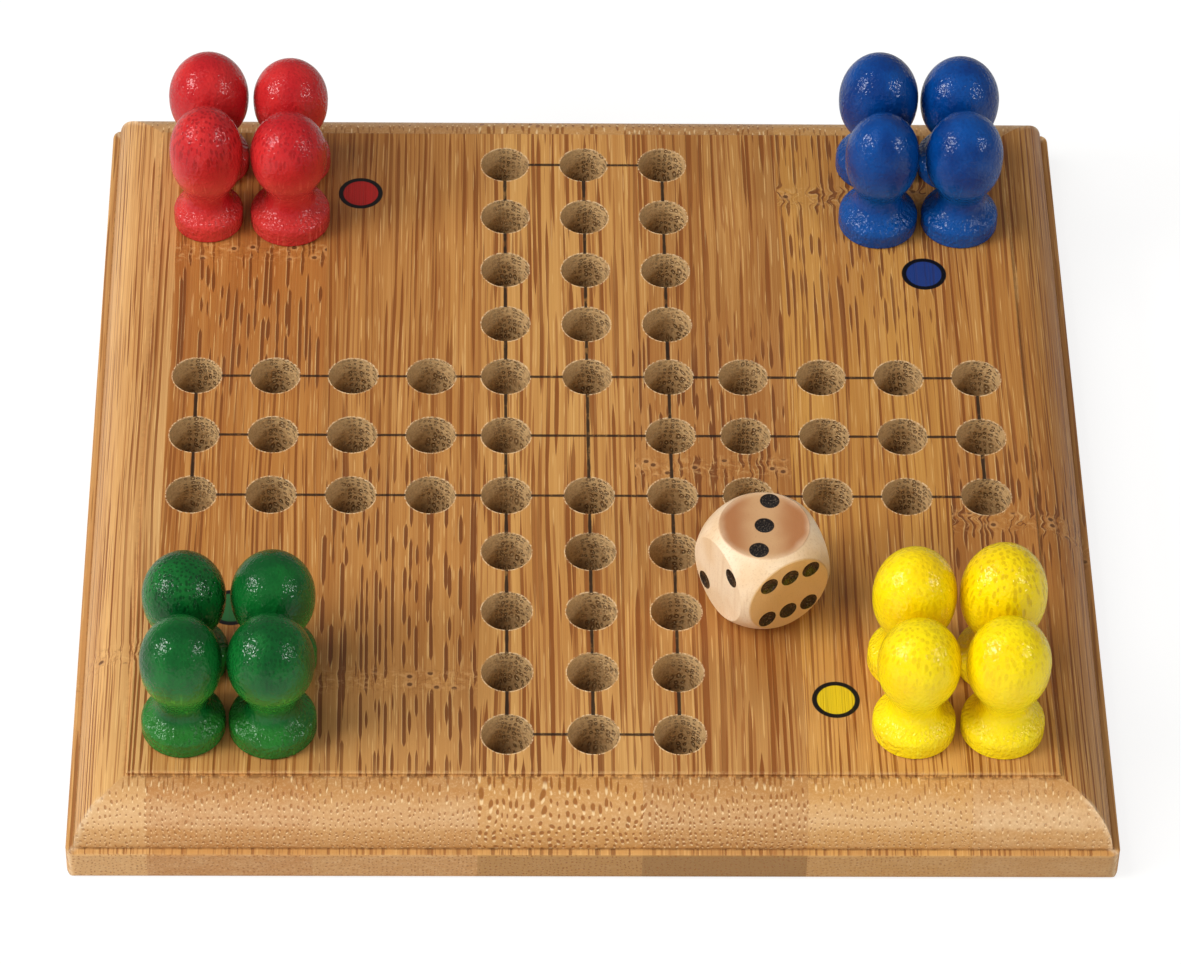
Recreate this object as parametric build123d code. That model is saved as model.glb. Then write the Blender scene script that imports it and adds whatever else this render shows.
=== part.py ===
from build123d import *
from math import cos, radians, sin
import os

# A pocket ludo board: a square slab of seven edge-glued bamboo staves with a moulded edge,
# drilled with the cross-shaped track, four groups of turned pawns in their home holes, and
# one die. Millimetres, +Z up. The origin is the middle of the underside, the red home is at
# the rear left, and the fibres of the staves run from front to rear, along Y.

# Slab and its edge moulding
board_side = 139.5
board_thickness = 12.2
ledge_width = 1.1
ovolo_radius = 6.9
step_height = 0.45
top_arris = 0.2
ledge_arris = 0.35
bottom_arris = 0.8
corner_radius = 1.6

# Staves, numbered from left to right: the outer two are what the saw left, the rest are equal
stave_count = 7
left_stave_width = 10.75
right_stave_width = 19.75

# Track holes, drilled with a ball-nosed bit
hole_diameter = 6.9
hole_wall = 3.0
hole_pitch = 11.0
lane_offset = 11.5
arm_length = 5

# Home holes, a square of four in each corner, with its middle set in from the board's sides
home_from_side = 21.25
home_from_rear = 20.65
home_from_front = 21.85
home_spacing = 11.8

# Pawns: a peg, a round foot with a soft shoulder, a neck hollowed out by a cove, and an
# egg-shaped head. The foot's slope and the chin would meet in the corner that the cove rounds.
peg_clearance = 0.4
peg_length = 4.0
peg_arris = 0.7
foot_arris = 0.3
foot_rim = 2.65
shoulder_radius = 1.5
neck_radius = 2.4
neck_height = 5.0
cove_radius = 3.2
chin_slope = 61.0
chin_length = 3.8
chin_fullness = 1.1
flank_fullness = 0.62
widest_share = 0.42
crown_fullness = 0.55
# Head diameter, foot diameter and height above the board of the hand-turned pawns, which
# come in the order rear left, rear right, front left, front right
turned_sizes = {
    "red": [(11.5, 11.2, 20.3), (10.8, 11.2, 19.2), (10.5, 10.0, 20.9), (11.0, 11.5, 19.7)],
    "blue": [(11.5, 11.2, 20.9), (11.4, 11.2, 20.2), (10.6, 11.4, 20.2), (11.1, 11.1, 20.5)],
    "green": [(11.2, 11.3, 19.4), (11.3, 11.3, 19.6), (10.9, 11.2, 20.1), (11.6, 11.7, 20.1)],
    "yellow": [(11.3, 11.3, 20.8), (11.7, 11.4, 21.6), (11.1, 11.1, 19.7), (11.2, 11.2, 20.2)],
}
home_corners = {"red": (-1, 1), "blue": (1, 1), "green": (-1, -1), "yellow": (1, -1)}

# Die: a cube with its corners turned off by a sphere, and dimpled pips, askew on its top face
die_side = 14.0
die_sphere = 18.5
die_to_right = 23.0
die_to_front = 30.0
die_turn = 29.0
pip_diameter = 2.7
pip_depth = 0.3
pip_offset = 3.25
pip_skew = 5.0


def edge_section():
    """Cross-section of the slab, with the moulding on both of its edges."""
    half = board_side / 2
    top = board_thickness
    foot_of_step = top - step_height
    ledge = foot_of_step - ovolo_radius
    flat = half - ledge_width - ovolo_radius
    turn = 1 - sin(radians(45))
    right = [
        Line((0, 0), (half - bottom_arris, 0)),
        ThreePointArc(
            (half - bottom_arris, 0),
            (half - bottom_arris * turn, bottom_arris * turn),
            (half, bottom_arris),
        ),
        Line((half, bottom_arris), (half, ledge - ledge_arris)),
        ThreePointArc(
            (half, ledge - ledge_arris),
            (half - ledge_arris * turn, ledge - ledge_arris * turn),
            (half - ledge_arris, ledge),
        ),
        Line((half - ledge_arris, ledge), (half - ledge_width, ledge)),
        ThreePointArc(
            (half - ledge_width, ledge),
            (flat + ovolo_radius * (1 - turn), ledge + ovolo_radius * (1 - turn)),
            (flat, foot_of_step),
        ),
        Line((flat, foot_of_step), (flat, top - top_arris)),
        ThreePointArc(
            (flat, top - top_arris),
            (flat - top_arris * turn, top - top_arris * turn),
            (flat - top_arris, top),
        ),
        Line((flat - top_arris, top), (0, top)),
    ]
    left = [mirror(edge, about=Plane.YZ) for edge in right]
    return make_face(Curve() + right + left)


def moulded_slab():
    """The slab before drilling: its section runs both ways, so the moulding meets in mitres."""
    section = edge_section()
    across = extrude(Plane.XZ * section, amount=board_side / 2, both=True)
    along = extrude(Plane.YZ * section, amount=board_side / 2, both=True)
    outline = RectangleRounded(board_side, board_side, corner_radius)
    return across & along & extrude(outline, amount=board_thickness)


def track_positions():
    """Hole centres of the cross: three lanes each way, with no hole in the middle."""
    line = [0.0, lane_offset] + [hole_pitch * n for n in range(2, arm_length + 1)]
    line = [-x for x in reversed(line[1:])] + line
    lanes = (-lane_offset, 0.0, lane_offset)
    cross = [(x, y) for x in line for y in line if x in lanes or y in lanes]
    return [spot for spot in cross if spot != (0.0, 0.0)]


def home_positions(colour):
    """Centres of one colour's home holes: rear left, rear right, front left, front right."""
    side_x, side_y = home_corners[colour]
    inset = home_from_rear if side_y > 0 else home_from_front
    centre_x = side_x * (board_side / 2 - home_from_side)
    centre_y = side_y * (board_side / 2 - inset)
    half = home_spacing / 2
    return [
        (centre_x + x, centre_y + y)
        for y in (half, -half)
        for x in (-half, half)
    ]


def ball_nosed_hole(spot):
    """What the bit takes away: a straight wall that ends in half a ball."""
    radius = hole_diameter / 2
    wall = Cylinder(radius, hole_wall, align=(Align.CENTER, Align.CENTER, Align.MIN))
    bit = wall + Sphere(radius)
    return Pos(spot[0], spot[1], board_thickness - hole_wall) * bit


def seams():
    """Glue lines between the staves, with the two sides of the board at the ends."""
    first = left_stave_width - board_side / 2
    last = board_side / 2 - right_stave_width
    width = (last - first) / (stave_count - 2)
    inner = [first + width * n for n in range(stave_count - 1)]
    return [-board_side / 2] + inner + [board_side / 2]


def staves():
    """The drilled slab parted at its glue lines."""
    spots = track_positions()
    for colour in home_corners:
        spots += home_positions(colour)
    slab = moulded_slab()
    radius = hole_diameter / 2
    edges = seams()
    parts = {}
    for number, (left, right) in enumerate(zip(edges, edges[1:]), start=1):
        blank = Box(right - left, board_side, board_thickness)
        stave = slab & Pos((left + right) / 2, 0, board_thickness / 2) * blank
        for spot in spots:
            if left - radius < spot[0] < right + radius:
                stave -= ball_nosed_hole(spot)
        parts[f"stave_{number}"] = stave
    return parts


def nearest_corner(section, spot):
    """The corner of a flat section that lies closest to a spot."""
    return section.vertices().sort_by_distance(Vector(spot))[0]


def pawn(head_diameter, foot_diameter, height):
    """A turned pawn, standing on its foot at the origin with its peg below."""
    head = head_diameter / 2
    foot = foot_diameter / 2
    peg = hole_diameter / 2 - peg_clearance

    # The head is an egg: its chin rises straight from the neck and swells into the flank, and
    # half an oval runs from its widest place to the top
    chin = Vector(cos(radians(chin_slope)), sin(radians(chin_slope)))
    neck = Vector(neck_radius, neck_height)
    jaw = neck + chin * chin_length
    swell = jaw + chin * chin_fullness
    widest = jaw.Y + widest_share * (height - jaw.Y)
    low_flank = widest - flank_fullness * (widest - jaw.Y)
    high_flank = widest + crown_fullness * (height - widest)
    crown_reach = head * crown_fullness

    turn = 1 - sin(radians(45))
    rim = (foot, foot_rim)
    outline = Curve() + [
        Line((0, -peg_length), (peg - peg_arris, -peg_length)),
        Line((peg - peg_arris, -peg_length), (peg, peg_arris - peg_length)),
        Line((peg, peg_arris - peg_length), (peg, 0)),
        Line((peg, 0), (foot - foot_arris, 0)),
        ThreePointArc(
            (foot - foot_arris, 0),
            (foot - foot_arris * turn, foot_arris * turn),
            (foot, foot_arris),
        ),
        Line((foot, foot_arris), rim),
        Line(rim, neck),
        Line(neck, jaw),
        Bezier(jaw, swell, (head, low_flank), (head, widest)),
        Bezier((head, widest), (head, high_flank), (crown_reach, height), (0, height)),
        Line((0, height), (0, -peg_length)),
    ]
    section = make_face(outline)
    section = fillet(nearest_corner(section, rim), shoulder_radius)
    section = fillet(nearest_corner(section, neck), cove_radius)
    return revolve(Plane.XZ * section, axis=Axis.Z)


def pip_spots(count):
    """Places of a face's pips, in steps of the pip offset from its middle."""
    corners = [(1, 1), (-1, -1), (1, -1), (-1, 1)]
    middles = [(1, 0), (-1, 0)]
    spots = [(0, 0)] if count % 2 else []
    return spots + (corners + middles)[: count - len(spots)]


def die():
    """A wooden die, standing at the origin with three pips up."""
    body = Box(die_side, die_side, die_side) & Sphere(die_sphere / 2)
    ball = ((pip_diameter / 2) ** 2 + pip_depth**2) / (2 * pip_depth)
    faces = {
        3: (Plane.XY, pip_skew),
        4: (Plane.XY.rotated((180, 0, 0)), 0),
        2: (Plane.YZ.rotated((0, 180, 0)), 0),
        5: (Plane.YZ, 0),
        6: (Plane.XZ, 90),
        1: (Plane.XZ.rotated((0, 180, 0)), 0),
    }
    for count, (plane, turn) in faces.items():
        for x, y in pip_spots(count):
            spot = Rot(0, 0, turn) * Pos(x * pip_offset, y * pip_offset, 0)
            depth = Pos(0, 0, die_side / 2 + ball - pip_depth)
            body -= plane * spot * depth * Sphere(ball)
    return Pos(0, 0, die_side / 2) * body


def pawns():
    """Four pawns of each colour, each in its own home hole."""
    parts = {}
    for colour, sizes in turned_sizes.items():
        for number, (size, spot) in enumerate(zip(sizes, home_positions(colour)), start=1):
            parts[f"pawn_{colour}_{number}"] = Pos(*spot, board_thickness) * pawn(*size)
    return parts


def placed_die():
    """The die on the board, where it was thrown."""
    return Pos(die_to_right, -die_to_front, board_thickness) * Rot(0, 0, die_turn) * die()


os.makedirs("parts", exist_ok=True)
for name, solid in {**staves(), **pawns(), "die": placed_die()}.items():
    solid.label = name
    export_step(solid, f"parts/{name}.step")
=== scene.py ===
import bmesh
import bpy
import math
from mathutils import Matrix, Vector


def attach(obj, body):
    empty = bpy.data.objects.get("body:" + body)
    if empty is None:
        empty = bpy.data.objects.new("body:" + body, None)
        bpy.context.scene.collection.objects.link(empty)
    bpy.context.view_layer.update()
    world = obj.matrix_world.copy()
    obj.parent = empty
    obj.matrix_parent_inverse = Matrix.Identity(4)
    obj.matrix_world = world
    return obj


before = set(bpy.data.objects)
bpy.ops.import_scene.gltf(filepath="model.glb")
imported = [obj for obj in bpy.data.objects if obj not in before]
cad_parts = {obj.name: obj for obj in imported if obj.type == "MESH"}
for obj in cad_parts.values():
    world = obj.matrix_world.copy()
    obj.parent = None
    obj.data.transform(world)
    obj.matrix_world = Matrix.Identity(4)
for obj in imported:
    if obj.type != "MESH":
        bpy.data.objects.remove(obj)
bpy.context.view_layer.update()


# ---- Sizes that the finishes line up with, in millimetres in the part's frame ----

TOP = 12.2  # height of the board's flat top
FLAT = 61.75  # from the middle of the board to the step round its flat top
LEDGE = 4.85  # height of the ledge under the moulding
LEDGE_INNER = 68.65  # from the middle to the ledge's inner corner
BASE = 1.0  # above this height and below the top, the only surface inside the edge is a hole's
HOLE = 3.45  # radius of a hole
PITCH = 11.0  # from hole to hole along an arm of the track
LANE = 11.5  # from the middle lane to an outer one
ARM = 5 * PITCH  # from the middle to the last hole of an arm
START_RADIUS = 3.2  # of the start dots, with their ring
START_INNER = 2.53  # inside that ring
LINE_HALF = 0.2  # half the width of a burnt line
HOME = {  # middle of each home
    "red": (-48.5, 49.1),
    "blue": (48.5, 49.1),
    "green": (-48.5, -47.9),
    "yellow": (48.5, -47.9),
}

# Where a zone starts and where it is full: heights on the moulding, depths in a hole, and distances
# from a joint of the culm
BELLY_BOTTOM = (7.2, 8.8)
BELLY_TOP = (11.5, 9.8)
BELOW_BELLY = (8.4, 7.6)
SHADE_DEPTH = (3.9, 5.6)
JOINT_BAND = (3.2, 0.6)
PIT_BAND = (1.9, 1.2)

# The same for the zones of a pawn, as heights above the top of the board
CROWN = (12.5, 16.5)
CHIN_TOP = (13.5, 9.5)
CHIN_BOTTOM = (5.5, 8.0)
FOOT = (5.0, 3.5)
FOOT_SIDE = (2.6, 1.9)
FOOT_EDGE = (0.5, 0.1)

DIE_HALF = 7.0
DIE_AT = (23.0, -30.0, TOP + DIE_HALF)
DIE_TURN = 29.0  # degrees
PIP_STEP = 3.25
PIP_RADIUS = 1.33
PIP_SKEW = 5.0  # degrees by which the row of three runs askew
PLUG_RADIUS = 1.352
PLUG_DEPTH = 0.29

# Relief of each finish, for a height of one
BAMBOO_RELIEF = 0.035
WAX_RELIEF = 0.15
DIE_RELIEF = 0.03

SEED_STEP = (1.37, 2.11, 0.73)  # shift of a pattern for each step of its seed


def rgb(red, green, blue):
    """A colour given as it should appear, turned to the linear values that Blender uses."""
    out = []
    for value in (red, green, blue):
        value /= 255
        out.append(value / 12.92 if value <= 0.04045 else ((value + 0.055) / 1.055) ** 2.4)
    return (*out, 1.0)


class Finish:
    """One procedural material. Most of its methods add a node and return that node's output socket."""

    def __init__(self, name):
        self.material = bpy.data.materials.new(name)
        self.material.use_nodes = True
        self.tree = self.material.node_tree
        self.tree.nodes.clear()
        self.shader = self.tree.nodes.new("ShaderNodeBsdfPrincipled")
        self.output = self.tree.nodes.new("ShaderNodeOutputMaterial")
        self.tree.links.new(self.shader.outputs["BSDF"], self.output.inputs["Surface"])
        coordinates = self.tree.nodes.new("ShaderNodeTexCoord")
        self.place = self.scaled(coordinates.outputs["Object"], 1000)
        self.x, self.y, self.z = self.separate(self.place)

    def put(self, socket, value):
        if isinstance(value, bpy.types.NodeSocket):
            self.tree.links.new(value, socket)
        else:
            socket.default_value = value

    def separate(self, vector):
        node = self.tree.nodes.new("ShaderNodeSeparateXYZ")
        self.tree.links.new(vector, node.inputs[0])
        return node.outputs

    def math(self, operation, *values):
        node = self.tree.nodes.new("ShaderNodeMath")
        node.operation = operation
        for socket, value in zip(node.inputs, values):
            self.put(socket, value)
        return node.outputs[0]

    def together(self, operation, values):
        total = values[0]
        for value in values[1:]:
            total = self.math(operation, total, value)
        return total

    def add(self, *values):
        return self.together("ADD", values)

    def mul(self, *values):
        return self.together("MULTIPLY", values)

    def most(self, *values):
        return self.together("MAXIMUM", values)

    def sub(self, first, second):
        return self.math("SUBTRACT", first, second)

    def size(self, value):
        return self.math("ABSOLUTE", value)

    def flip(self, value):
        return self.math("SUBTRACT", 1.0, value)

    def length(self, first, second):
        return self.math("SQRT", self.add(self.mul(first, first), self.mul(second, second)))

    def fade(self, value, start, end, low=0.0, high=1.0):
        """A smooth step: low up to start and high from end. It falls where start is above end."""
        node = self.tree.nodes.new("ShaderNodeMapRange")
        node.interpolation_type = "SMOOTHSTEP"
        if start > end:
            start, end, low, high = end, start, high, low
        for socket, given in zip(node.inputs, (value, start, end, low, high)):
            self.put(socket, given)
        return node.outputs[0]

    def between(self, share, low, high):
        """A value that goes smoothly from low to high as the share goes from none to all."""
        return self.fade(share, 0.0, 1.0, low, high)

    def vector(self, x=0.0, y=0.0, z=0.0):
        node = self.tree.nodes.new("ShaderNodeCombineXYZ")
        for socket, value in zip(node.inputs, (x, y, z)):
            self.put(socket, value)
        return node.outputs[0]

    def scaled(self, vector, factor):
        node = self.tree.nodes.new("ShaderNodeVectorMath")
        node.operation = "SCALE"
        self.put(node.inputs[0], vector)
        node.inputs["Scale"].default_value = factor
        return node.outputs[0]

    def stretch(self, x, y, z, seed=0.0, at=None):
        """The place, or another one, measured in steps of x, y and z millimetres, and shifted by a seed."""
        node = self.tree.nodes.new("ShaderNodeVectorMath")
        node.operation = "MULTIPLY_ADD"
        self.put(node.inputs[0], self.place if at is None else at)
        node.inputs[1].default_value = (1 / x, 1 / y, 1 / z)
        node.inputs[2].default_value = [seed * step for step in SEED_STEP]
        return node.outputs[0]

    def noise(self, vector, detail=1.0, roughness=0.5, scale=1.0):
        node = self.tree.nodes.new("ShaderNodeTexNoise")
        self.put(node.inputs["Vector"], vector)
        node.inputs["Scale"].default_value = scale
        node.inputs["Detail"].default_value = detail
        node.inputs["Roughness"].default_value = roughness
        return node.outputs[0]

    def sway(self, vector, reach, detail=1.0):
        """Noise between about minus and plus reach."""
        return self.mul(self.sub(self.noise(vector, detail), 0.5), 2.6 * reach)

    def scattered(self, place, dimensions, randomness):
        """Distance to the nearest of a scatter of points, and that point's own random value."""
        node = self.tree.nodes.new("ShaderNodeTexVoronoi")
        node.voronoi_dimensions = dimensions
        self.put(node.inputs["W" if dimensions == "1D" else "Vector"], place)
        node.inputs["Scale"].default_value = 1.0
        node.inputs["Randomness"].default_value = randomness
        return node.outputs["Distance"], self.separate(node.outputs["Color"])[0]

    def blend(self, share, first, second):
        node = self.tree.nodes.new("ShaderNodeMix")
        node.data_type = "RGBA"
        self.put(node.inputs[0], share)
        self.put(node.inputs[6], first)
        self.put(node.inputs[7], second)
        return node.outputs[2]

    def tint(self, colour, tone, *shares):
        """The colour, moved towards a tone by the product of the shares."""
        return self.blend(self.mul(*shares), colour, tone)

    def bump(self, height, distance):
        """Relief of so many millimetres for a height of one."""
        node = self.tree.nodes.new("ShaderNodeBump")
        node.inputs["Strength"].default_value = 1.0
        node.inputs["Distance"].default_value = distance / 1000
        self.put(node.inputs["Height"], height)
        self.tree.links.new(node.outputs[0], self.shader.inputs["Normal"])

    def set(self, colour, roughness, specular=0.5):
        self.put(self.shader.inputs["Base Color"], colour)
        self.put(self.shader.inputs["Roughness"], roughness)
        self.put(self.shader.inputs["Specular IOR Level"], specular)


# ---- Bamboo ----

# Ground tissue and the lines along it
LINE_PALE = rgb(228, 174, 104)
HAIR_DARK = rgb(148, 88, 36)
HAIR_PALE = rgb(236, 188, 120)
FRONT_PALE = rgb(222, 174, 108)
DASHED_GROUND = rgb(156, 90, 40)
FINE_LINE = rgb(150, 86, 36)
PALE_FIBRE = rgb(240, 196, 128)
GLINT = rgb(238, 194, 130)
STREAK = rgb(136, 75, 28)
DASH = rgb(118, 64, 26)
# A joint of the culm
JOINT_PALE = rgb(228, 180, 118)
JOINT_DARK = rgb(134, 80, 36)
PIT_HALO = rgb(206, 150, 92)
PIT = rgb(84, 46, 20)
# The cut ends
BLEACHED = rgb(222, 184, 134)
# A painted sheen on the belly of the moulding
PAINTED_SHEEN = rgb(226, 196, 160)
UNDER_BELLY = rgb(184, 128, 62)
TORN_TISSUE = rgb(244, 212, 164)
LOWER_EDGE = rgb(136, 108, 62)
BUNDLE = rgb(146, 86, 30)
BUNDLE_CORE = rgb(226, 180, 120)
BUNDLE_SPECK = rgb(250, 222, 172)
# The holes
BARE_PALE = rgb(210, 174, 122)
BARE_DARK = rgb(190, 152, 102)
HOLE_RING = rgb(98, 62, 28)
HOLE_CORE = rgb(236, 206, 158)
HOLE_SHADE = rgb(70, 44, 20)
# Paler torn wood at the lip and rim of a hole, partly a painted highlight
TORN_LIP_AND_GLINT = rgb(236, 202, 154)
TORN_RIM_AND_GLINT = rgb(238, 206, 160)
# Marks and edges
SCORCH = rgb(36, 22, 12)
RING_INK = rgb(14, 11, 12)
INK_FIBRE = rgb(60, 36, 24)
LEDGE_PALE = rgb(212, 164, 104)
# Painted shade in the step and in the ledge's corner
CREASE_SHADE = rgb(104, 64, 30)
# Mitres and arrises worn pale, partly a painted highlight
MITRE_WEAR_AND_GLINT = rgb(240, 214, 176)
ARRIS_WEAR_AND_GLINT = rgb(226, 186, 130)


class Stave(Finish):
    """
    One stave of bamboo. Its vascular bundles are rods that run along Y through the solid: they are cut
    to dots on the front and rear mouldings and in the holes, and lie in the top as streaks and dashes.
    """

    def __init__(self, number, pale, dark, rods, edge, lined, dashed, joint, curl):
        super().__init__(f"bamboo_{number}")
        self.seed = float(number)
        self.pale = pale
        self.dark = dark
        self.rod_step, self.rod_radius, self.rod_share = rods
        self.edge = edge
        self.lined = lined
        self.dashed = dashed
        self.joint = joint
        self.curl = curl
        self.reach = self.most(self.size(self.x), self.size(self.y))
        self.on_top = self.math("GREATER_THAN", self.z, TOP - 0.06)
        self.hair = self.noise(self.stretch(0.16, 38, 0.16, self.seed + 17), 1.0)
        self.fray = self.noise(self.stretch(0.35, 0.35, 0.35, self.seed + 31), 3.0, 0.65)
        self.find_surfaces()
        self.find_fibres()

    def find_surfaces(self):
        """Where the surface cuts the fibres across: the front and rear mouldings, and the holes."""
        beyond = self.fade(self.size(self.y), FLAT - 0.02, FLAT + 0.5)
        front_or_rear = self.fade(self.sub(self.size(self.y), self.size(self.x)), -0.05, 0.05)
        self.ledge = self.mul(
            self.fade(self.size(self.sub(self.z, LEDGE)), 0.12, 0.04),
            self.math("GREATER_THAN", self.reach, LEDGE_INNER - 0.1),
        )
        self.end_grain = self.mul(beyond, front_or_rear, self.flip(self.ledge))
        self.bored = self.mul(
            self.math("LESS_THAN", self.reach, FLAT - 0.4),
            self.math("LESS_THAN", self.z, TOP - 0.02),
            self.math("GREATER_THAN", self.z, BASE),
        )
        self.long_grain = self.mul(self.flip(self.end_grain), self.flip(self.bored))

    def find_fibres(self):
        """Places measured across and along the fibres, which wander slowly and curl at a joint."""
        unrolled = self.mul(
            self.math("SIGN", self.x),
            self.math("GREATER_THAN", self.size(self.x), FLAT),
            self.sub(TOP, self.z),
        )
        self.from_joint = self.size(self.sub(self.y, self.joint))
        self.knot = self.fade(self.from_joint, *JOINT_BAND)
        near = self.mul(self.knot, self.curl)
        self.across = self.add(
            self.x,
            unrolled,
            self.sway(self.stretch(7, 70, 7, self.seed + 1), 0.9),
            self.sway(self.stretch(2.0, 22, 2.0, self.seed + 2), 0.06, 0.0),
            self.mul(self.sway(self.stretch(2.2, 1.9, 2.2, self.seed + 7), 1.3), near),
        )
        self.along = self.add(
            self.y,
            self.mul(self.sway(self.stretch(2.4, 2.4, 2.4, self.seed + 9), 2.2), near),
        )

    def fibres(self, step, offset, run, gaps, thick, shift=0.0):
        """
        Lines along the stave, one to a step of so many millimetres. Each swells and dies out over its
        run. Run, gaps and thick are pairs: their first goes for the calm stretches, their second for
        the dashes.
        """
        place = self.add(self.math("DIVIDE", self.add(self.across, shift), step), offset)
        distance, own = self.scattered(place, "1D", randomness=0.8)
        swell = []
        for length in run:
            spot = self.vector(self.mul(own, 91.0), self.math("DIVIDE", self.along, length), offset)
            swell.append(self.noise(spot, 0.0))
        calm = self.flip(self.zone)
        swelling = self.add(
            self.mul(self.sub(swell[0], gaps[0]), calm),
            self.mul(self.sub(swell[1], gaps[1]), self.zone),
        )
        width = self.fade(swelling, 0.0, 0.17)
        half = self.mul(width, self.add(self.mul(calm, thick[0]), self.mul(self.zone, thick[1])))
        body = self.fade(self.sub(distance, half), 0.045, -0.045)
        return self.mul(body, self.fade(width, 0.02, 0.20))

    def rods(self, step, radius, offset, lift=0.0, scatter=0.5):
        """The bundles cut across: each one's whole disc and its pale middle."""
        drift = self.sway(self.stretch(2.3, 60, 3.0, self.seed), 0.7)
        side = self.add(self.x, self.sway(self.stretch(5, 60, 5, self.seed + 1), 0.8))
        spot = self.vector(
            self.add(self.math("DIVIDE", side, step), offset),
            self.add(self.math("DIVIDE", self.add(self.z, drift, lift), step), offset),
        )
        distance, own = self.scattered(spot, "2D", scatter)
        apart = self.math("DIVIDE", self.mul(distance, step), self.between(own, 0.7, 1.25))
        disc = self.fade(apart, radius * 1.35, radius * 0.75)
        middle = self.fade(apart, radius * 0.60, radius * 0.25)
        return disc, middle

    def ground(self):
        """Ground tissue: broad bands of tone, fine lines, and slow clouds of darker tone."""
        band = self.vector(self.across, self.mul(self.y, 0.035), self.seed * 3.0)
        broad = self.noise(band, 2.0, 0.6, 0.24)
        thread = self.vector(self.across, self.mul(self.y, 0.012), self.seed * 5.0)
        lines = self.noise(thread, 2.0, 0.7, 1.7)
        cloud = self.noise(self.stretch(16, 34, 16, self.seed + 19), 2.0)
        colour = self.blend(self.fade(broad, 0.34, 0.68), self.pale, self.dark)
        colour = self.tint(colour, self.dark, self.fade(lines, 0.52, 0.64, 0.0, 0.20))
        colour = self.tint(colour, LINE_PALE, self.fade(lines, 0.47, 0.36, 0.0, 0.22))
        colour = self.tint(colour, HAIR_DARK, self.fade(self.hair, 0.53, 0.66, 0.0, 0.15))
        colour = self.tint(colour, HAIR_PALE, self.fade(self.hair, 0.46, 0.34, 0.0, 0.20))
        colour = self.tint(colour, self.dark, self.fade(cloud, 0.40, 0.75, 0.0, 0.25))
        return self.tint(colour, FRONT_PALE, self.fade(self.y, -36, -60, 0.0, 0.30))

    def grain(self, colour):
        """Lines along the top: long ones everywhere, broken to dashes towards a joint of the culm."""
        front, rear, share, browning = self.dashed
        place = self.add(self.y, self.sway(self.stretch(3.0, 40, 40, self.seed + 41), 7.0))
        past_front = self.fade(place, front - 7, front + 7)
        short_of_rear = self.fade(place, rear + 7, rear - 7)
        self.zone = self.mul(past_front, short_of_rear, share)
        calm = 0.17 * self.lined
        main = self.fibres(step=1.05, offset=3.3, run=(22.0, 5.4), gaps=(0.41, 0.42), thick=(calm, 0.22))
        fine = self.fibres(step=0.66, offset=7.7, run=(16.0, 8.0), gaps=(0.43, 0.50), thick=(calm, 0.12))
        pale = self.fibres(step=0.62, offset=13.1, run=(6.0, 4.0), gaps=(0.54, 0.54), thick=(0.12, 0.12))
        # A glint lies close beside a dash, so it runs with the main lines
        glint = self.fibres(
            step=1.05, offset=3.3, run=(22.0, 5.4), gaps=(0.50, 0.45), thick=(0.0, 0.09), shift=0.27
        )
        patch = self.vector(self.mul(self.across, 0.35), self.mul(self.y, 0.03), self.seed)
        strong = self.most(self.fade(self.noise(patch, 1.0), 0.36, 0.56, 0.66, 1.0), self.zone)
        self.groove = self.mul(main, strong)
        colour = self.tint(colour, DASHED_GROUND, self.zone, browning)
        colour = self.tint(colour, FINE_LINE, fine, 0.60)
        colour = self.tint(colour, PALE_FIBRE, pale, 0.42)
        colour = self.tint(colour, GLINT, glint, self.zone, 0.42)
        return self.tint(colour, self.blend(self.zone, STREAK, DASH), self.groove, 0.92)

    def knots(self, colour):
        """A joint of the culm: a crinkled band with small dark pits along it."""
        spot = self.vector(self.mul(self.across, 0.9), self.mul(self.along, 1.2), self.seed)
        crinkle = self.noise(spot, 2.0, 0.7)
        self.crinkle = self.mul(self.sub(crinkle, 0.5), self.knot)
        colour = self.tint(colour, JOINT_PALE, self.fade(crinkle, 0.53, 0.66), self.knot, 0.34)
        colour = self.tint(colour, JOINT_DARK, self.fade(crinkle, 0.45, 0.36), self.knot, 0.38)
        spot = self.stretch(2.7, 2.4, 9.0, self.seed + 23)
        distance, own = self.scattered(spot, "2D", randomness=0.9)
        line = self.fade(self.from_joint, *PIT_BAND)
        pitted = self.mul(line, self.math("GREATER_THAN", own, 0.35))
        self.pit = self.mul(self.fade(distance, 0.17, 0.09), pitted)
        colour = self.tint(colour, PIT_HALO, self.fade(distance, 0.34, 0.22), pitted, 0.5)
        return self.tint(colour, PIT, self.pit, 0.85)

    def tissue(self, above):
        """Ground of the cut ends: palest on the moulding's belly, where a sheen is painted, brown under it
        and along its top.
        """
        soft = self.noise(self.stretch(3.5, 3.5, 1.6, self.seed + 51), 2.0, 0.6)
        # The bolder a stave's bundles are, the less it is bleached and the darker it is between them
        bleached = self.blend(1.06 - 0.8 * self.rod_share, self.pale, BLEACHED)
        tissue = self.tint(bleached, self.pale, self.fade(soft, 0.3, 0.7, 0.0, 0.5))
        # A painted sheen pales the belly of the moulding
        belly = self.mul(self.fade(self.z, *BELLY_BOTTOM), self.fade(self.z, *BELLY_TOP))
        tissue = self.tint(tissue, PAINTED_SHEEN, belly, 0.38 - 0.26 * self.rod_share)
        tissue = self.tint(tissue, UNDER_BELLY, self.fade(self.z, *BELOW_BELLY), above, 0.38)
        tissue = self.tint(tissue, self.dark, self.fade(self.z, TOP - 2.0, TOP - 0.6, 0.0, 0.35))
        tissue = self.tint(tissue, self.dark, max(0.0, 1.25 * (self.rod_share - 0.52)))
        tissue = self.tint(tissue, self.dark, self.fade(self.fray, 0.50, 0.70, 0.0, 0.28))
        return self.tint(tissue, TORN_TISSUE, self.fade(self.fray, 0.50, 0.30, 0.0, 0.25))

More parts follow.
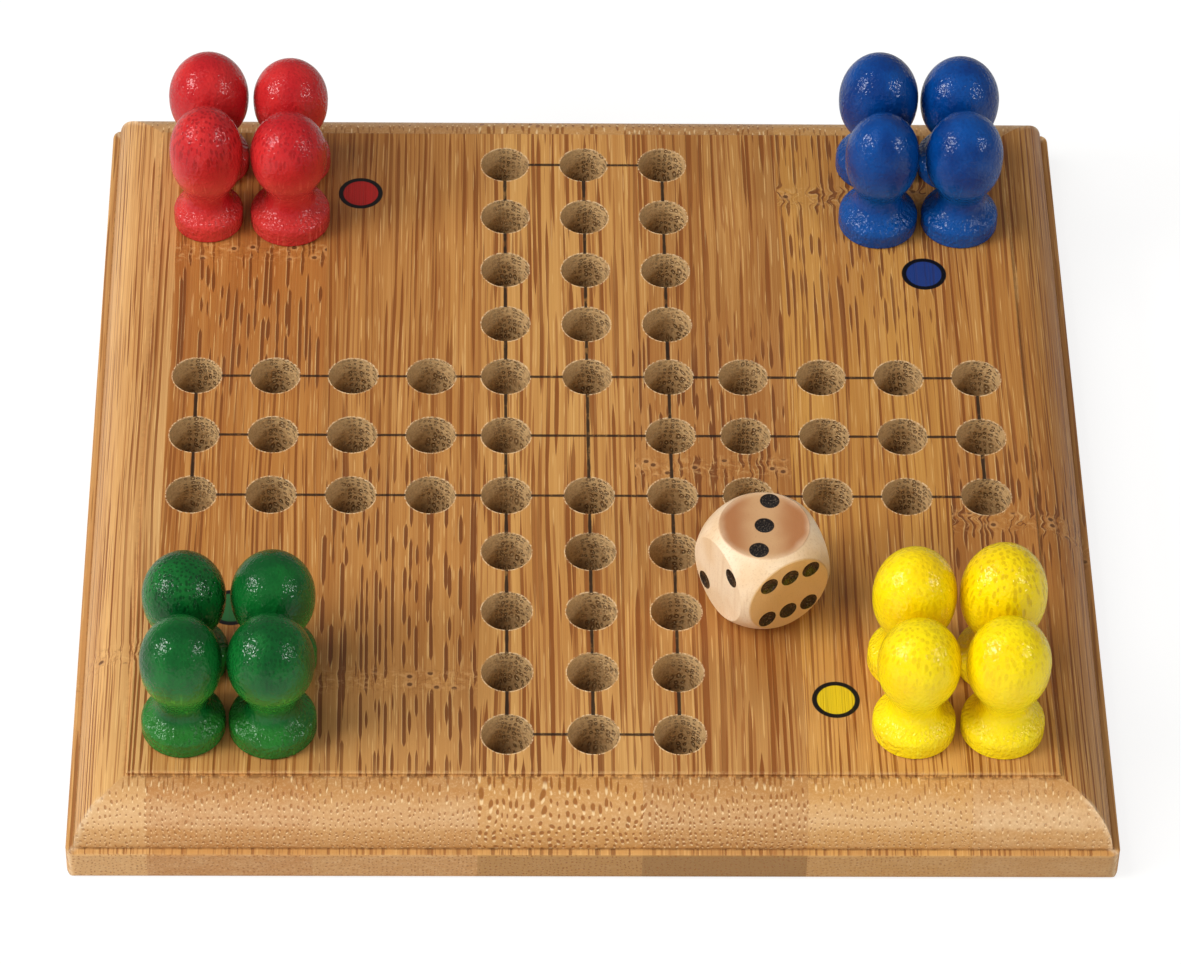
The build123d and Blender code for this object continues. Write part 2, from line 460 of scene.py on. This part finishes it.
    def cut_ends(self, colour):
        """The front and rear: even, paler tissue with the bundles as dark drops, finer low on the edge."""
        low = self.fade(self.z, LEDGE + 0.30, LEDGE - 0.05)
        above = self.flip(low)
        disc, middle = self.rods(self.rod_step, self.rod_radius, offset=0.0)
        # A pale speck sits close to each bundle
        speck, _ = self.rods(self.rod_step, self.rod_radius * 0.65, offset=0.0, lift=1.7 * self.rod_radius)
        fine, _ = self.rods(step=0.60, radius=0.105, offset=40.0)
        disc = self.add(self.mul(disc, above), self.mul(fine, low, 0.85))
        self.dots = self.mul(disc, self.end_grain)
        core = max(0.0, 1.3 * (0.75 - self.rod_share))
        tissue = self.tint(self.tissue(above), self.blend(0.6, self.dark, LOWER_EDGE), low, self.edge)
        tissue = self.tint(tissue, BUNDLE_SPECK, speck, above, 0.60)
        tissue = self.tint(tissue, BUNDLE, disc, self.rod_share)
        tissue = self.tint(tissue, BUNDLE_CORE, middle, above, core)
        return self.blend(self.end_grain, colour, tissue)

    def find_holes(self):
        """
        Folds the track onto one of its holes. Returns how far a point is from the axis of the nearest one,
        whether one is drilled there at all, and how far to the right of its axis the point lies.
        """
        counts = []
        offsets = []
        for place in (self.x, self.y):
            count = self.math("ROUND", self.math("DIVIDE", self.size(place), PITCH))
            outer_lane = self.math("COMPARE", count, 1.0, 0.1)
            middle = self.add(self.mul(count, PITCH), self.mul(outer_lane, LANE - PITCH))
            counts.append(count)
            offsets.append(self.sub(self.size(place), middle))
        in_lane = self.math("LESS_THAN", self.math("MINIMUM", *counts), 1.5)
        in_arm = self.math("LESS_THAN", self.most(*counts), 5.5)
        off_middle = self.math("GREATER_THAN", self.add(*counts), 0.5)
        sideways = self.mul(offsets[0], self.math("SIGN", self.x))
        return self.length(*offsets), self.mul(in_lane, in_arm, off_middle), sideways

    def holes(self, colour):
        """Bare wood in the holes, dotted with the cut bundles, painted strongest on the right where light
        falls, with a bright torn rim that is partly a painted highlight.
        """
        radius, drilled, sideways = self.find_holes()
        disc, middle = self.rods(step=0.78, radius=0.23, offset=80.0, scatter=0.40)
        ring = self.mul(disc, self.flip(middle))
        smear = self.noise(self.stretch(3.0, 3.0, 3.0, self.seed + 61), 1.0)
        # Painted light: the rings show strongest on the right of a hole, where the light falls and brings
        # out their relief
        lit_side = self.fade(sideways, -2.4, 0.2, 0.15, 1.0)
        clear = self.mul(self.fade(smear, 0.34, 0.54, 0.45, 1.0), lit_side)
        bare = self.blend(self.fade(self.fray, 0.40, 0.65), BARE_PALE, BARE_DARK)
        bare = self.tint(bare, HOLE_RING, ring, clear, 0.66)
        bare = self.tint(bare, HOLE_CORE, middle, clear, 0.50)
        # A painted stand-in for the shade in a hole, which lies low and mostly on the left
        deep = self.fade(self.sub(TOP, self.z), *SHADE_DEPTH)
        bare = self.tint(bare, HOLE_SHADE, deep, self.fade(sideways, 1.8, -1.6, 0.25, 0.80))
        colour = self.blend(self.bored, colour, bare)
        # The lip and rim are paler: torn fibres, and a painted highlight on the arris
        lip = self.mul(self.bored, self.fade(self.z, TOP - 0.26, TOP - 0.10))
        colour = self.tint(colour, TORN_LIP_AND_GLINT, lip, self.fade(self.fray, 0.40, 0.62, 0.10, 0.75))
        rim = self.mul(drilled, self.on_top, self.fade(radius, HOLE + 0.22, HOLE + 0.08))
        colour = self.tint(colour, TORN_RIM_AND_GLINT, rim, self.fade(self.fray, 0.42, 0.58, 0.05, 0.80))
        self.torn = self.mul(self.add(self.mul(self.fray, 0.5), self.mul(ring, clear, -2.6)), self.bored)
        return colour

    def line(self, place, lanes, other, reach, wobble):
        """Lines at some places of one axis, each reaching equally far both ways along the other."""
        nearest = self.together("MINIMUM", [self.size(self.sub(place, lane)) for lane in lanes])
        ends = self.math("LESS_THAN", self.size(other), reach)
        return self.mul(self.fade(self.add(nearest, wobble), LINE_HALF + 0.08, LINE_HALF - 0.07), ends)

    def burnt_track(self, colour):
        """Track lines, burnt in: straight and thin across the fibres, thicker and ragged along them."""
        thin = self.add(self.sway(self.stretch(3, 3, 9, 3.0), 0.04), -0.03)
        thick = self.add(self.sway(self.stretch(2, 2.2, 9, 5.0), 0.07), -0.03)
        lanes = (-LANE, 0.0, LANE)
        ends = (-ARM, ARM)
        side_to_side = self.most(
            self.line(self.y, lanes, self.x, ARM, thin),
            self.line(self.y, ends, self.x, LANE, thin),
        )
        front_to_rear = self.most(
            self.line(self.x, lanes, self.y, ARM, thick),
            self.line(self.x, ends, self.y, LANE, thick),
        )
        faint = self.fade(self.noise(self.stretch(0.5, 0.5, 9, 7.0), 2.0, 0.7), 0.25, 0.50, 0.60, 0.92)
        patchy = self.fade(self.noise(self.stretch(1.2, 1.6, 9, 9.0), 2.0), 0.28, 0.45, 0.60, 0.95)
        self.scorch = self.mul(
            self.most(self.mul(side_to_side, faint), self.mul(front_to_rear, patchy)), self.on_top
        )
        return self.tint(colour, SCORCH, self.scorch)

    def start_dots(self, colour):
        """A black ring printed round a coloured disc beside each home, with the fibres just showing."""
        for at_x, at_y, ink in START_DOTS:
            far = self.length(self.sub(self.x, at_x), self.sub(self.y, at_y))
            paint = self.tint(ink, INK_FIBRE, self.fade(self.hair, 0.4, 0.7, 0.0, 0.22))
            paint = self.tint(paint, RING_INK, self.fade(far, START_INNER - 0.07, START_INNER + 0.07))
            printed = self.mul(self.fade(far, START_RADIUS + 0.08, START_RADIUS - 0.06), self.on_top)
            colour = self.blend(printed, colour, paint)
        return colour

    def edges(self, colour):
        """Painted shade in the step and the ledge's corner, and mitres and arrises worn pale with a painted
        highlight, most at the front.
        """
        worn = self.noise(self.stretch(0.9, 0.9, 0.9, self.seed + 37), 3.0, 0.75)
        front = self.fade(self.sub(self.mul(self.y, -1.0), self.size(self.x)), -0.5, 0.5, 0.22, 1.0)
        step = self.mul(
            self.fade(self.reach, FLAT - 0.10, FLAT),
            self.fade(self.reach, FLAT + 0.85, FLAT + 0.30),
            self.fade(self.z, TOP - 0.20, TOP - 0.36),
        )
        corner = self.mul(
            self.fade(self.z, LEDGE + 0.50, LEDGE + 0.10),
            self.fade(self.z, LEDGE - 0.20, LEDGE - 0.05),
            self.fade(self.reach, LEDGE_INNER - 0.30, LEDGE_INNER - 0.05),
            self.fade(self.reach, LEDGE_INNER + 0.26, LEDGE_INNER + 0.10),
        )
        mitre = self.mul(
            self.fade(self.size(self.sub(self.size(self.x), self.size(self.y))), 1.0, 0.0),
            self.fade(self.reach, FLAT + 2.0, FLAT + 4.0),
        )
        arris = self.mul(
            self.fade(self.reach, FLAT - 0.55, FLAT - 0.20),
            self.fade(self.z, TOP - 0.30, TOP - 0.10),
        )
        colour = self.tint(colour, LEDGE_PALE, self.ledge, 0.22)
        # Painted shade in the step and the ledge's corner, broken up along them
        colour = self.tint(colour, CREASE_SHADE, step, front, self.fade(worn, 0.42, 0.57, 0.60, 0.0))
        colour = self.tint(colour, CREASE_SHADE, corner, self.fade(worn, 0.3, 0.6, 0.60, 0.25))
        # Mitres and arrises are worn pale, with a painted highlight on them
        colour = self.tint(colour, MITRE_WEAR_AND_GLINT, mitre, self.fade(worn, 0.36, 0.60, 0.10, 0.55))
        return self.tint(colour, ARRIS_WEAR_AND_GLINT, arris, self.fade(worn, 0.42, 0.58, 0.12, 1.0), front, 0.25)

    def finish(self):
        colour = self.ground()
        colour = self.grain(colour)
        colour = self.knots(colour)
        colour = self.cut_ends(colour)
        colour = self.holes(colour)
        colour = self.burnt_track(colour)
        colour = self.start_dots(colour)
        colour = self.edges(colour)
        # Grooves, bundles, pits and burnt lines are sunk, and torn fibres stand up
        relief = self.add(
            self.mul(self.groove, self.long_grain, -1.2),
            self.mul(self.sub(self.hair, 0.5), self.long_grain, 0.9),
            self.mul(self.dots, -1.0),
            self.mul(self.pit, self.long_grain, -2.5),
            self.mul(self.crinkle, self.long_grain, 3.0),
            self.mul(self.scorch, -1.6),
            self.mul(self.torn, 2.2),
        )
        self.bump(relief, BAMBOO_RELIEF)
        self.set(colour, roughness=self.between(self.bored, 0.42, 0.80), specular=0.45)
        return self.material


# For each stave: pale and dark ground; step, radius and strength of the bundles where they are cut; how
# dark the lower edge is; weight of the lines on top; the stretch of dashes, as its front, its rear, its
# strength and its browning; and the joint of the culm, with how much the fibres curl at it
STAVES = {
    1: dict(
        pale=rgb(214, 163, 102), dark=rgb(191, 135, 76), rods=(0.76, 0.13, 0.66), edge=0.2,
        lined=0.9, dashed=(-90, -70, 0.0, 0.0), joint=-40.5, curl=0.4,
    ),
    2: dict(
        pale=rgb(190, 127, 60), dark=rgb(166, 102, 44), rods=(0.76, 0.13, 0.66), edge=0.2,
        lined=0.9, dashed=(10, 42, 1.0, 0.40), joint=36.5, curl=0.2,
    ),
    3: dict(
        pale=rgb(197, 138, 71), dark=rgb(171, 112, 53), rods=(0.76, 0.13, 0.66), edge=0.2,
        lined=1.1, dashed=(-62, -4, 1.0, 0.14), joint=-45.5, curl=0.2,
    ),
    4: dict(
        pale=rgb(209, 154, 84), dark=rgb(188, 130, 66), rods=(1.02, 0.22, 0.85), edge=0.7,
        lined=1.5, dashed=(-90, -60, 0.8, 0.0), joint=-100.0, curl=0.0,
    ),
    5: dict(
        pale=rgb(195, 138, 72), dark=rgb(168, 111, 53), rods=(0.78, 0.16, 0.75), edge=0.9,
        lined=1.45, dashed=(-14, 20, 1.0, 0.30), joint=-6.0, curl=0.4,
    ),
    6: dict(
        pale=rgb(205, 148, 71), dark=rgb(182, 122, 55), rods=(0.76, 0.12, 0.62), edge=0.5,
        lined=0.9, dashed=(22, 90, 0.85, 0.15), joint=48.5, curl=1.0,
    ),
    7: dict(
        pale=rgb(196, 137, 67), dark=rgb(171, 111, 49), rods=(0.94, 0.15, 0.45), edge=0.5,
        lined=1.0, dashed=(-28, -3, 1.0, 0.30), joint=-16.0, curl=1.0,
    ),
}
START_DOTS = (
    (-32.5, 48.8, rgb(188, 36, 32)),
    (48.8, 32.5, rgb(34, 58, 122)),
    (32.5, -48.8, rgb(228, 196, 24)),
    (-48.8, -32.5, rgb(36, 96, 48)),
)


# ---- Pawns ----

class Stain(Finish):
    """Stained and waxed hardwood turned with its grain upright, so that pores dot the crown of a pawn."""

    def __init__(self, name, base, deep, light, pore, pore_step, dotted):
        super().__init__(f"{name}_stained_wood")
        self.base = base
        self.deep = deep
        self.light = light
        self.pore = pore
        self.pore_step = pore_step
        self.dotted = dotted
        self.home = HOME[name]

    def which(self):
        """How dotted the crown is of the pawn that stands here: one share to each quarter of a home."""
        right = self.math("GREATER_THAN", self.x, self.home[0])
        front = self.math("LESS_THAN", self.y, self.home[1])
        rear_left, rear_right, front_left, front_right = self.dotted
        rear = self.add(self.mul(self.flip(right), rear_left), self.mul(right, rear_right))
        near = self.add(self.mul(self.flip(right), front_left), self.mul(right, front_right))
        return self.add(self.mul(self.flip(front), rear), self.mul(front, near))

    def zone(self, heights):
        """A zone of the pawn, from the two heights at which it starts and is full."""
        return self.fade(self.z, TOP + heights[0], TOP + heights[1])

    def pores(self):
        """Pores cut across, as dots on the crown."""
        bent_x = self.add(self.x, self.sway(self.stretch(4, 4, 9, 2.0), 0.3))
        bent_y = self.add(self.y, self.sway(self.stretch(4, 4, 9, 4.0), 0.3))
        spot = self.stretch(self.pore_step, self.pore_step, 9.0, 1.0, self.vector(bent_x, bent_y))
        distance, own = self.scattered(spot, "2D", randomness=0.75)
        away = self.math("DIVIDE", distance, self.between(own, 0.20, 0.36))
        return self.mul(self.fade(away, 1.25, 0.65), self.zone(CROWN), self.which())

    def finish(self):
        pores = self.pores()
        streaks = self.noise(self.stretch(0.45, 0.45, 6, 6.0), 1.0, 0.6)
        patches = self.noise(self.stretch(4.5, 4.5, 7.0, 8.0), 2.0, 0.5)
        lumps = self.noise(self.stretch(0.50, 0.50, 0.56, 9.0), 1.0, 0.5)
        chin = self.mul(self.zone(CHIN_TOP), self.zone(CHIN_BOTTOM))
        foot = self.zone(FOOT)
        streaked = self.most(chin, self.zone(FOOT_SIDE))
        colour = self.blend(self.fade(patches, 0.34, 0.70), self.base, self.deep)
        # The chin and foot are lighter: partly the stain's paler tone, partly painted bounce light from the
        # board
        colour = self.tint(colour, self.light, self.most(self.mul(chin, 0.34), self.mul(foot, 0.16)))
        colour = self.tint(colour, self.light, self.fade(streaks, 0.60, 0.72), streaked, 0.60)
        colour = self.tint(colour, self.pore, pores, 0.70)
        colour = self.tint(colour, self.deep, self.zone(FOOT_EDGE), 0.45)
        # The foot is the least sanded
        rough = self.mul(lumps, self.between(foot, 1.0, 2.1))
        self.bump(self.add(rough, self.mul(pores, -0.2)), WAX_RELIEF)
        self.set(colour, roughness=self.fade(streaks, 0.3, 0.7, 0.15, 0.23), specular=0.40)
        return self.material


# For each stain: base, deep and light tones, the tone and the step of its pores, and how dotted the
# crowns are of the rear left, rear right, front left and front right pawn
STAINS = {
    "red": (
        rgb(202, 44, 44), rgb(182, 28, 34), rgb(234, 92, 76), rgb(140, 14, 20), 0.66,
        (0.25, 0.25, 0.9, 0.7),
    ),
    "blue": (
        rgb(6, 70, 144), rgb(2, 50, 118), rgb(26, 106, 182), rgb(4, 28, 84), 0.66,
        (0.15, 0.3, 0.15, 0.2),
    ),
    "green": (
        rgb(16, 100, 38), rgb(6, 76, 30), rgb(84, 172, 48), rgb(2, 42, 16), 0.58,
        (0.9, 0.15, 0.25, 0.5),
    ),
    "yellow": (
        rgb(251, 223, 6), rgb(246, 208, 4), rgb(255, 240, 50), rgb(208, 170, 6), 0.86,
        (0.4, 0.9, 0.6, 0.5),
    ),
}


# ---- Die ----

MAPLE_PALE = rgb(246, 220, 186)
MAPLE_DARK = rgb(236, 202, 160)
MAPLE_GRAIN = rgb(214, 170, 122)
MAPLE_SPECK = rgb(170, 122, 80)
SAWN_PALE = rgb(204, 156, 108)
SAWN_DARK = rgb(174, 110, 62)
SIDE_YELLOWED = rgb(212, 162, 92)
PIP_BLACK = rgb(26, 20, 18)


def pip_spots(count):
    """Where the pips of a face lie, in steps from its middle."""
    corners = [(1, 1), (-1, -1), (1, -1), (-1, 1)]
    middles = [(1, 0), (-1, 0)]
    spots = [(0, 0)] if count % 2 else []
    return spots + (corners + middles)[: count - len(spots)]


def die_pips(look, a, b, c):
    """The pips of all six faces. a, b and c are measured from the middle of the die, c upwards."""
    pips = []
    # Number of pips, the side of the die and the axis that the face looks along, and its own two axes
    for count, sign, flat_on, first, second in (
        (3, 1, c, a, b),
        (4, -1, c, a, b),
        (2, -1, a, b, c),
        (5, 1, a, b, c),
        (6, -1, b, c, a),
        (1, 1, b, c, a),
    ):
        face = look.math("GREATER_THAN", look.mul(flat_on, float(sign)), DIE_HALF - 1.0)
        skew = math.radians(PIP_SKEW if count == 3 else 0)
        for p, q in pip_spots(count):
            if count == 2:
                p = -p
            p, q = p * math.cos(skew) - q * math.sin(skew), p * math.sin(skew) + q * math.cos(skew)
            far = look.length(look.sub(first, p * PIP_STEP), look.sub(second, q * PIP_STEP))
            pips.append(look.mul(look.fade(far, PIP_RADIUS + 0.05, PIP_RADIUS - 0.05), face))
    return look.most(*pips)


def die_finish():
    """Pale bare wood, browned on its sawn end, with black lacquered pips."""
    look = Finish("die_maple")
    turn = math.radians(DIE_TURN)
    near_x = look.sub(look.x, DIE_AT[0])
    near_y = look.sub(look.y, DIE_AT[1])
    a = look.add(look.mul(near_x, math.cos(turn)), look.mul(near_y, math.sin(turn)))
    b = look.sub(look.mul(near_y, math.cos(turn)), look.mul(near_x, math.sin(turn)))
    c = look.sub(look.z, DIE_AT[2])
    grain = look.noise(look.stretch(0.5, 0.5, 9, 3.0), 2.0, 0.6)
    cloud = look.noise(look.stretch(5, 5, 5, 5.0), 2.0)
    speck = look.noise(look.stretch(0.22, 0.22, 0.22, 7.0), 1.0)
    colour = look.blend(look.fade(cloud, 0.3, 0.7), MAPLE_PALE, MAPLE_DARK)
    colour = look.tint(colour, MAPLE_GRAIN, look.fade(grain, 0.5, 0.75, 0.0, 0.30))
    # End grain drinks more: the flat top and bottom are browner, most of all towards two sides
    flat = look.fade(look.size(c), DIE_HALF - 0.20, DIE_HALF - 0.01)
    wander = look.sway(look.stretch(3, 3, 3, 11.0), 0.9)
    stripe = look.fade(look.add(look.size(look.add(a, look.mul(b, -0.6))), wander), 0.8, 5.0)
    rim = look.fade(look.add(look.length(a, b), look.mul(wander, 0.5)), 6.3, 5.0, 0.45, 0.95)
    colour = look.tint(colour, look.blend(stripe, SAWN_PALE, SAWN_DARK), flat, rim)
    side = look.fade(look.mul(b, -1.0), DIE_HALF - 0.25, DIE_HALF - 0.01)
    colour = look.tint(colour, SIDE_YELLOWED, side, 0.80)
    colour = look.tint(colour, MAPLE_SPECK, look.fade(speck, 0.55, 0.75, 0.0, 0.2))
    pips = die_pips(look, a, b, c)
    colour = look.tint(colour, PIP_BLACK, pips, look.fade(speck, 0.25, 0.5, 0.9, 1.0))
    look.bump(look.add(look.mul(speck, 0.5), look.mul(grain, 0.6)), DIE_RELIEF)
    look.set(colour, roughness=look.between(pips, 0.42, 0.22))
    return look.material


# ---- Materials onto the part's own nodes ----

def dress(name, material):
    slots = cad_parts[name].data.materials
    slots.clear()
    slots.append(material)


for number, sizes in STAVES.items():
    dress(f"stave_{number}", Stave(number, **sizes).finish())
for colour, tones in STAINS.items():
    material = Stain(colour, *tones).finish()
    for index in range(1, 5):
        dress(f"pawn_{colour}_{index}", material)
die_look = die_finish()
dress("die", die_look)


def plugged_dimple(radius, depth, sides=48):
    """A lens of the die's own wood that closes the stray dimple in the middle of the side with six pips."""
    turn = math.radians(DIE_TURN)
    outward = Vector((math.sin(turn), -math.cos(turn), 0))
    along = Vector((math.cos(turn), math.sin(turn), 0))
    middle = Vector(DIE_AT) + DIE_HALF * outward
    build = bmesh.new()
    rings = []
    # A ring flush with the face, and half as wide a one sunk behind it
    for share, sunk in ((1.0, 0.0), (0.5, 0.75)):
        points = []
        for step in range(sides):
            angle = 2 * math.pi * step / sides
            offset = along * math.cos(angle) + Vector((0, 0, 1)) * math.sin(angle)
            point = middle + share * radius * offset - sunk * depth * outward
            points.append(build.verts.new(point / 1000))
        rings.append(points)
    for step in range(sides):
        after = (step + 1) % sides
        build.faces.new((rings[0][step], rings[0][after], rings[1][after], rings[1][step]))
    build.faces.new(rings[0])
    build.faces.new(rings[1])
    bmesh.ops.recalc_face_normals(build, faces=build.faces[:])
    mesh = bpy.data.meshes.new("die_plug")
    build.to_mesh(mesh)
    build.free()
    plug = bpy.data.objects.new("die_plug", mesh)
    bpy.context.scene.collection.objects.link(plug)
    plug.data.materials.append(die_look)
    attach(plug, "die")


plugged_dimple(PLUG_RADIUS, PLUG_DEPTH)


# ---- Camera: the photograph's own angle, from a fit to the track holes ----

def towards(azimuth, elevation):
    """A direction, with its azimuth in degrees from +X towards +Y: 180 is the left and 270 the front."""
    around, up_by = math.radians(azimuth), math.radians(elevation)
    level = math.cos(up_by)
    return Vector((math.cos(around) * level, math.sin(around) * level, math.sin(up_by)))


def aimed(azimuth, elevation, roll, target, distance, lens):
    """Places the camera. Its azimuth is counted from the front towards +X."""
    back = towards(azimuth - 90, elevation)
    around, tilt = math.radians(azimuth), math.radians(roll)
    right = Vector((math.cos(around), math.sin(around), 0))
    up = back.cross(right)
    across = right * math.cos(tilt) + up * math.sin(tilt)
    upward = up * math.cos(tilt) - right * math.sin(tilt)
    data = bpy.data.cameras.new("camera")
    data.sensor_width = 36
    data.lens = lens
    data.clip_start = 0.01
    camera = bpy.data.objects.new("camera", data)
    bpy.context.scene.collection.objects.link(camera)
    matrix = Matrix((across, upward, back)).transposed().to_4x4()
    matrix.translation = Vector(target) + back * distance
    camera.matrix_world = matrix
    bpy.context.scene.camera = camera


aimed(
    azimuth=-1.94,
    elevation=46.65,
    roll=1.60,
    target=(0.0002, -0.0089, 0.0122),
    distance=0.7577,
    lens=166.6,
)


# ---- Floor, world and lamps ----

FLOOR_REACH = 3.0  # metres
FLOOR_TONE = rgb(232, 230, 226)
FLOOR_GLOW = 1.15
GLOW_SHARE = 0.72  # of what the camera sees of the floor; the rest is lit, and takes the shadow
MIRROR_DIMMING = 0.2
WHITE = (1, 1, 1, 1)
FILL_TONE = (1.0, 0.985, 0.96, 1)
FILL_STRENGTH = 0.22


def stage_material():
    """A white floor that the camera sees as white paper and that still shows the object's shadow."""
    look = Finish("white_floor")
    tree = look.tree
    look.set(FLOOR_TONE, roughness=0.9)
    glow = tree.nodes.new("ShaderNodeEmission")
    glow.inputs["Color"].default_value = WHITE
    glow.inputs["Strength"].default_value = FLOOR_GLOW
    rays = tree.nodes.new("ShaderNodeLightPath")
    mixed = tree.nodes.new("ShaderNodeMixShader")
    tree.links.new(look.mul(rays.outputs["Is Camera Ray"], GLOW_SHARE), mixed.inputs[0])
    tree.links.new(look.shader.outputs[0], mixed.inputs[1])
    tree.links.new(glow.outputs[0], mixed.inputs[2])
    # Mirrored in the wax of the pawns the floor is dimmer, so that it doesn't veil their colour
    dimmed = tree.nodes.new("ShaderNodeMixShader")
    tree.links.new(look.mul(rays.outputs["Is Glossy Ray"], MIRROR_DIMMING), dimmed.inputs[0])
    tree.links.new(mixed.outputs[0], dimmed.inputs[1])
    tree.links.new(dimmed.outputs[0], look.output.inputs["Surface"])
    return look.material


corners = [(x * FLOOR_REACH, y * FLOOR_REACH, 0) for x, y in ((-1, -1), (1, -1), (1, 1), (-1, 1))]
floor_mesh = bpy.data.meshes.new("floor")
floor_mesh.from_pydata(corners, [], [(0, 1, 2, 3)])
floor = bpy.data.objects.new("floor", floor_mesh)
floor.data.materials.append(stage_material())
bpy.context.scene.collection.objects.link(floor)


def studio_world():
    """White to the camera, and a weak warm fill to everything else."""
    world = bpy.data.worlds.new("studio")
    world.use_nodes = True
    tree = world.node_tree
    tree.nodes.clear()
    rays = tree.nodes.new("ShaderNodeLightPath")
    seen = tree.nodes.new("ShaderNodeMath")
    seen.operation = "MAXIMUM"
    tree.links.new(rays.outputs["Is Camera Ray"], seen.inputs[0])
    tree.links.new(rays.outputs["Is Transmission Ray"], seen.inputs[1])
    white = tree.nodes.new("ShaderNodeBackground")
    white.inputs["Color"].default_value = WHITE
    fill = tree.nodes.new("ShaderNodeBackground")
    fill.inputs["Color"].default_value = FILL_TONE
    fill.inputs["Strength"].default_value = FILL_STRENGTH
    both = tree.nodes.new("ShaderNodeMixShader")
    tree.links.new(seen.outputs[0], both.inputs[0])
    tree.links.new(fill.outputs[0], both.inputs[1])
    tree.links.new(white.outputs[0], both.inputs[2])
    out = tree.nodes.new("ShaderNodeOutputWorld")
    tree.links.new(both.outputs[0], out.inputs["Surface"])
    return world


bpy.context.scene.world = studio_world()


def lamp(name, azimuth, elevation, level, width, height, mirrored=True, distance=1.2):
    """A soft box of light. level is what it adds to a white card that faces it."""
    away = towards(azimuth, elevation)
    data = bpy.data.lights.new(name, "AREA")
    data.shape = "RECTANGLE"
    data.size = width
    data.size_y = height
    data.energy = level * math.pi * math.pi * distance ** 2
    light = bpy.data.objects.new(name, data)
    light.location = away * distance
    light.rotation_euler = away.to_track_quat("Z", "Y").to_euler()
    light.visible_glossy = mirrored
    bpy.context.scene.collection.objects.link(light)


lamp("key", 190, 57, level=0.57, width=0.70, height=0.70, mirrored=False)
lamp("left_lamp", 196, 31, level=0.39, width=0.42, height=0.17)
lamp("right_lamp", 334, 30, level=0.18, width=0.17, height=0.17)
lamp("front_fill", 262, 22, level=0.29, width=1.10, height=0.80, mirrored=False)

bpy.context.scene.view_settings.view_transform = "Standard"
